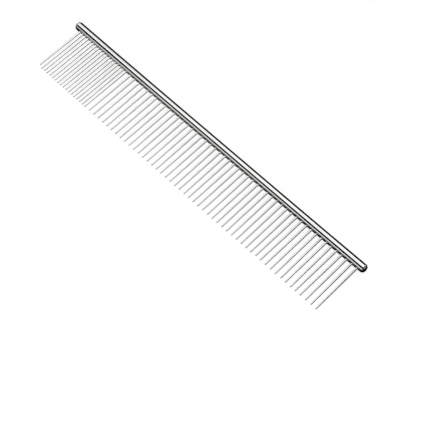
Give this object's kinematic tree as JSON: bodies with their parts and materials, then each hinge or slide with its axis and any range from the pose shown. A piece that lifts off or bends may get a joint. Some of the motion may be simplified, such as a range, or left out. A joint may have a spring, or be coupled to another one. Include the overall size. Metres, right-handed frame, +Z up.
{
  "type": "grooming comb",
  "caption": "Straight steel grooming comb: a round rounded-end bar with one row of long tapered pins, set closely at one end and wider along the rest.",
  "frame": {"origin": "on the table under the middle of the comb's bounding box, with the comb lying on its bar and on the tips of its pins", "axes": "+X along the bar from the finely spaced end to the widely spaced end; +Z up from the table, the comb's thin direction; the pins point towards -Y and slope down to the table by 3.7 degrees"},
  "size_m": [0.254, 0.0424, 0.0059],
  "materials": {
    "spine_chrome": "mirror polished",
    "pin_steel": "polished along the pins"
  },
  "bodies": {
    "root": {"spine": "spine_chrome", "fine_pin_09": "pin_steel", "fine_pin_10": "pin_steel", "fine_pin_11": "pin_steel", "fine_pin_12": "pin_steel", "fine_pin_13": "pin_steel", "fine_pin_14": "pin_steel", "fine_pin_15": "pin_steel", "fine_pin_16": "pin_steel", "fine_pin_17": "pin_steel", "fine_pin_18": "pin_steel", "coarse_pin_01": "pin_steel", "coarse_pin_02": "pin_steel", "coarse_pin_03": "pin_steel", "coarse_pin_04": "pin_steel", "coarse_pin_05": "pin_steel", "coarse_pin_06": "pin_steel", "coarse_pin_07": "pin_steel", "coarse_pin_08": "pin_steel", "coarse_pin_09": "pin_steel", "coarse_pin_10": "pin_steel", "coarse_pin_11": "pin_steel", "coarse_pin_12": "pin_steel", "coarse_pin_13": "pin_steel", "coarse_pin_14": "pin_steel", "coarse_pin_15": "pin_steel", "coarse_pin_16": "pin_steel", "coarse_pin_17": "pin_steel", "coarse_pin_18": "pin_steel", "coarse_pin_19": "pin_steel", "coarse_pin_20": "pin_steel", "coarse_pin_21": "pin_steel", "coarse_pin_22": "pin_steel", "coarse_pin_23": "pin_steel", "coarse_pin_24": "pin_steel", "coarse_pin_25": "pin_steel", "coarse_pin_26": "pin_steel", "coarse_pin_27": "pin_steel", "coarse_pin_28": "pin_steel", "coarse_pin_29": "pin_steel", "coarse_pin_30": "pin_steel", "coarse_pin_31": "pin_steel", "coarse_pin_32": "pin_steel", "coarse_pin_33": "pin_steel", "coarse_pin_34": "pin_steel", "coarse_pin_35": "pin_steel", "coarse_pin_36": "pin_steel", "coarse_pin_37": "pin_steel", "coarse_pin_38": "pin_steel", "coarse_pin_39": "pin_steel", "coarse_pin_40": "pin_steel", "coarse_pin_41": "pin_steel", "coarse_pin_42": "pin_steel", "coarse_pin_43": "pin_steel", "coarse_pin_44": "pin_steel", "coarse_pin_45": "pin_steel", "coarse_pin_46": "pin_steel", "coarse_pin_47": "pin_steel", "coarse_pin_48": "pin_steel", "coarse_pin_49": "pin_steel"}
  },
  "joints": []
}
